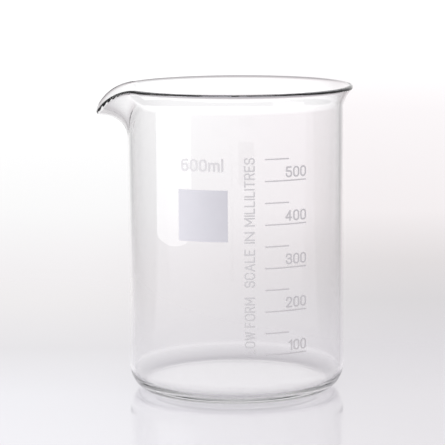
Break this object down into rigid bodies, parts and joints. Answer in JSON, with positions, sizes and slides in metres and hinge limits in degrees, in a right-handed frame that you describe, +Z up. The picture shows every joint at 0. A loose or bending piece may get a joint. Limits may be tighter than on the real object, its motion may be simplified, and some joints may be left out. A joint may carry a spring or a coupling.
{
  "type": "glass beaker",
  "caption": "Low-form laboratory beaker of clear glass with a flared rim, a pouring spout, a white printed volume scale and a writing panel.",
  "frame": {"origin": "middle of the flat underside, on the axis of the beaker", "axes": "+Z up along the axis, the spout points to -X, the printed scale faces -Y"},
  "size_m": [0.1054, 0.0964, 0.1257],
  "materials": {
    "glass": "clear fire-polished borosilicate glass",
    "enamel": "white fired enamel, satin"
  },
  "bodies": {
    "root": {"glass_vessel": "glass", "marking_panel": "enamel", "capacity_mark": "enamel", "inscription_form": "enamel", "inscription_scale": "enamel", "inscription_unit": "enamel", "graduation_line_100": "enamel", "graduation_line_150": "enamel", "graduation_line_200": "enamel", "graduation_line_250": "enamel", "graduation_line_300": "enamel", "graduation_line_350": "enamel", "graduation_line_400": "enamel", "graduation_line_450": "enamel", "graduation_line_500": "enamel", "graduation_line_550": "enamel", "numeral_100": "enamel", "numeral_200": "enamel", "numeral_300": "enamel", "numeral_400": "enamel", "numeral_500": "enamel"}
  },
  "joints": []
}
